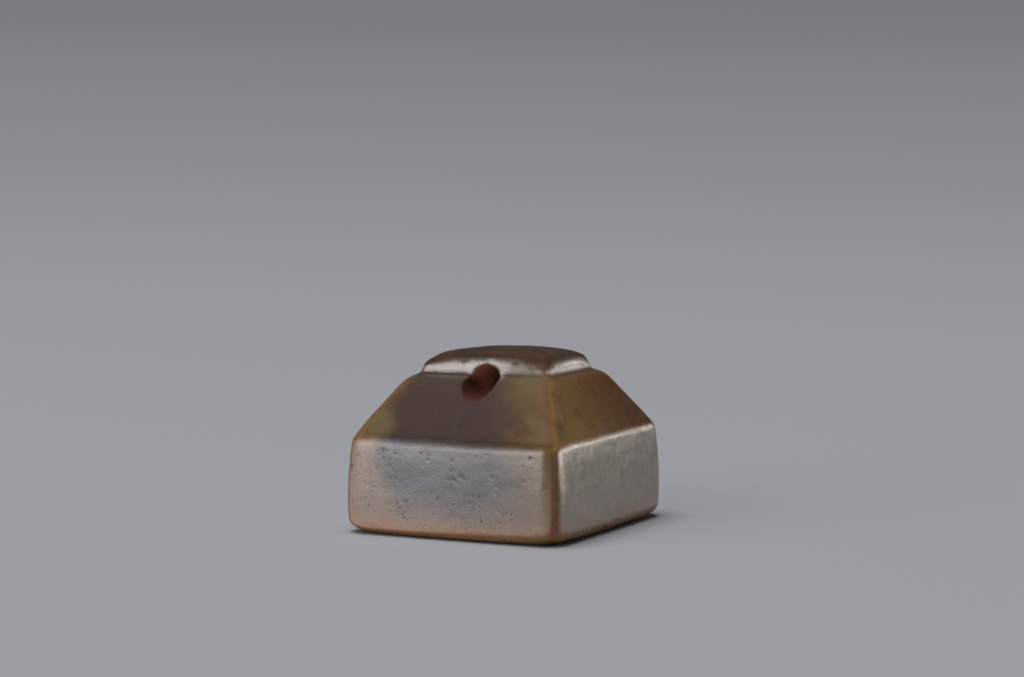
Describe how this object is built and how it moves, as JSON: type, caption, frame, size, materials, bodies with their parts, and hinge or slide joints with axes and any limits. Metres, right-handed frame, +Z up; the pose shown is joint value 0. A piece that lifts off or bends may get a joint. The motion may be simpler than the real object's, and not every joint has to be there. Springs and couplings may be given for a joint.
{
  "type": "stone stamp seal",
  "caption": "Small stamp seal of brown stone: a low block with sloping shoulders and an oblong boss, bored through for a cord, with an engraved flat underside.",
  "frame": {"origin": "middle of the flat sealing face, which the seal rests on", "axes": "+Z up out of the boss, +Y from the front wall to the back along the bore, +X along the front wall"},
  "size_m": [0.0178, 0.0194, 0.0135],
  "materials": {
    "brown_chalcedony": "satin"
  },
  "bodies": {
    "root": {"stone_seal": "brown_chalcedony"}
  },
  "joints": []
}
